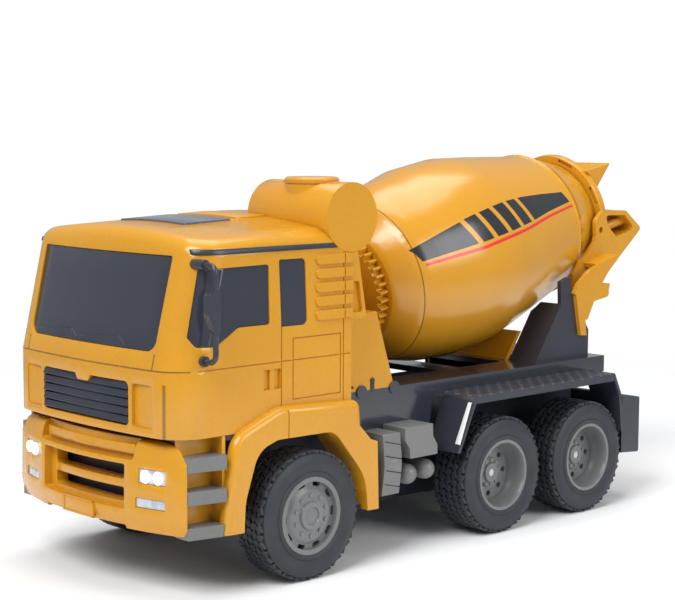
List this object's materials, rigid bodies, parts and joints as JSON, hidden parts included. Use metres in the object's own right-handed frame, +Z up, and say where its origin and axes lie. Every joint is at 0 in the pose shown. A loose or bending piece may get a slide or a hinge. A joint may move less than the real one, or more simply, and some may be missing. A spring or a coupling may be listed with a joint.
{
  "type": "toy cement mixer truck",
  "caption": "Toy cement mixer truck: six-wheel chassis, tilt-cab style body, turning mixer drum with ring gear, loading hopper and folding discharge chute.",
  "frame": {"origin": "on the ground under the middle of the truck's bounding box", "axes": "+Z up, -Y towards the cab's front, +X towards the truck's left side, where the one mirror is"},
  "size_m": [0.1138, 0.2883, 0.1496],
  "materials": {
    "shell_yellow": "moulded yellow plastic, slightly glossy",
    "drum_yellow": "moulded yellow plastic with a printed band",
    "trim_dark": "moulded dark grey plastic",
    "deck_dark": "polished dark plastic",
    "box_grey": "moulded mid grey plastic",
    "hatch_grey": "moulded grey plastic",
    "glass_dark": "dark glossy pane",
    "tank_cap": "moulded yellow plastic",
    "lamp_clear": "clear moulded lens",
    "lamp_red": "red moulded lens",
    "tyre": "soft dark rubber",
    "rim_grey": "moulded mid grey plastic",
    "pin_steel": "plain turned steel",
    "gear_white": "white moulded gear plastic",
    "motor_can": "drawn steel can",
    "servo_case": "black moulded case",
    "battery_wrap": "shrink wrap",
    "board_green": "printed circuit board"
  },
  "bodies": {
    "chassis": {"cab_shell": "shell_yellow", "windscreen": "glass_dark", "side_windows": "glass_dark", "grille": "trim_dark", "roof_hatch": "hatch_grey", "drip_strips": "trim_dark", "cab_floor": "trim_dark", "side_mirror": "trim_dark", "bumper": "shell_yellow", "front_lamps": "lamp_clear", "step_housings": "shell_yellow", "steps": "box_grey", "front_fenders": "shell_yellow", "water_tank": "shell_yellow", "tank_cap": "tank_cap", "chassis_tub": "trim_dark", "deck": "deck_dark", "front_pedestal": "shell_yellow", "rear_posts": "trim_dark", "rear_cradle": "shell_yellow", "bracket_arms": "shell_yellow", "loading_hopper": "shell_yellow", "drum_gearbox": "trim_dark", "drum_motor": "motor_can", "front_beam": "trim_dark", "kingpins": "pin_steel", "steering_servo": "servo_case", "axle_housings": "trim_dark", "drive_motor": "motor_can", "side_boxes": "box_grey", "air_tanks": "box_grey", "rear_mudguards": "trim_dark", "tail_box": "trim_dark", "tail_lamps": "lamp_red", "battery_pack": "battery_wrap", "battery_door": "trim_dark", "power_switch": "trim_dark", "circuit_boards": "board_green"},
    "drum": {"drum_front": "drum_yellow", "drum_rear": "drum_yellow", "ring_gear": "drum_yellow"},
    "drum_drive": {"drum_pinion": "gear_white"},
    "chute": {"discharge_chute": "shell_yellow"},
    "steer_left": {"knuckle_left": "trim_dark"},
    "steer_right": {"knuckle_right": "trim_dark"},
    "steer_rod": {"tie_rod": "trim_dark"},
    "steer_horn": {"servo_horn": "gear_white"},
    "wheel_left": {"front_tyre_left": "tyre", "front_rim_left": "rim_grey"},
    "wheel_right": {"front_tyre_right": "tyre", "front_rim_right": "rim_grey"},
    "axle_1": {"rear_shaft_1": "pin_steel", "rear_tyres_1": "tyre", "rear_rims_1": "rim_grey", "axle_gear": "gear_white"},
    "axle_2": {"rear_shaft_2": "pin_steel", "rear_tyres_2": "tyre", "rear_rims_2": "rim_grey"},
    "motor_drive": {"motor_pinion": "gear_white"},
    "knob": {"switch_knob": "trim_dark"}
  },
  "joints": [
    {"name": "drum_spin", "type": "hinge", "parent": "chassis", "child": "drum", "pos_m": [-0.0012, 0.02875, 0.10455], "axis": [0, 0.9815, 0.1913], "continuous": true},
    {"name": "drum_pinion_spin", "type": "hinge", "parent": "chassis", "child": "drum_drive", "pos_m": [-0.0012, -0.0101, 0.07023], "axis": [0, 0.9815, 0.1913], "continuous": true},
    {"name": "chute_fold", "type": "hinge", "parent": "chassis", "child": "chute", "pos_m": [-0.0012, 0.13075, 0.1096], "axis": [1, 0, 0], "range_deg": [-85, 0]},
    {"name": "steer_left_turn", "type": "hinge", "parent": "chassis", "child": "steer_left", "pos_m": [0.0353, -0.08235, 0.0235], "axis": [0, 0, 1], "range_deg": [-20, 20]},
    {"name": "steer_right_turn", "type": "hinge", "parent": "chassis", "child": "steer_right", "pos_m": [-0.0377, -0.08235, 0.0235], "axis": [0, 0, 1], "range_deg": [-20, 20]},
    {"name": "steer_rod_shift", "type": "slide", "parent": "chassis", "child": "steer_rod", "axis": [1, 0, 0], "range_m": [-0.0045, 0.0045]},
    {"name": "steer_horn_turn", "type": "hinge", "parent": "chassis", "child": "steer_horn", "pos_m": [-0.0012, -0.08235, 0.035], "axis": [0, 0, 1], "range_deg": [-20, 20]},
    {"name": "wheel_left_spin", "type": "hinge", "parent": "steer_left", "child": "wheel_left", "pos_m": [0.0353, -0.08235, 0.0235], "axis": [1, 0, 0], "continuous": true},
    {"name": "wheel_right_spin", "type": "hinge", "parent": "steer_right", "child": "wheel_right", "pos_m": [-0.0377, -0.08235, 0.0235], "axis": [1, 0, 0], "continuous": true},
    {"name": "axle_1_spin", "type": "hinge", "parent": "chassis", "child": "axle_1", "pos_m": [-0.0012, 0.02175, 0.0235], "axis": [1, 0, 0], "continuous": true},
    {"name": "axle_2_spin", "type": "hinge", "parent": "chassis", "child": "axle_2", "pos_m": [-0.0012, 0.07585, 0.0235], "axis": [1, 0, 0], "continuous": true},
    {"name": "motor_pinion_spin", "type": "hinge", "parent": "chassis", "child": "motor_drive", "pos_m": [-0.0012, 0.02895, 0.03597], "axis": [1, 0, 0], "continuous": true},
    {"name": "knob_slide", "type": "slide", "parent": "chassis", "child": "knob", "axis": [1, 0, 0], "range_m": [-0.0015, 0.0015]}
  ],
  "couplings": [
    {"joint": "drum_pinion_spin", "follows": "drum_spin", "ratio": -4},
    {"joint": "steer_right_turn", "follows": "steer_left_turn", "ratio": 1},
    {"joint": "steer_rod_shift", "follows": "steer_left_turn", "m_per_rad": -0.012},
    {"joint": "steer_horn_turn", "follows": "steer_left_turn", "ratio": 1},
    {"joint": "motor_pinion_spin", "follows": "axle_1_spin", "ratio": -3}
  ]
}
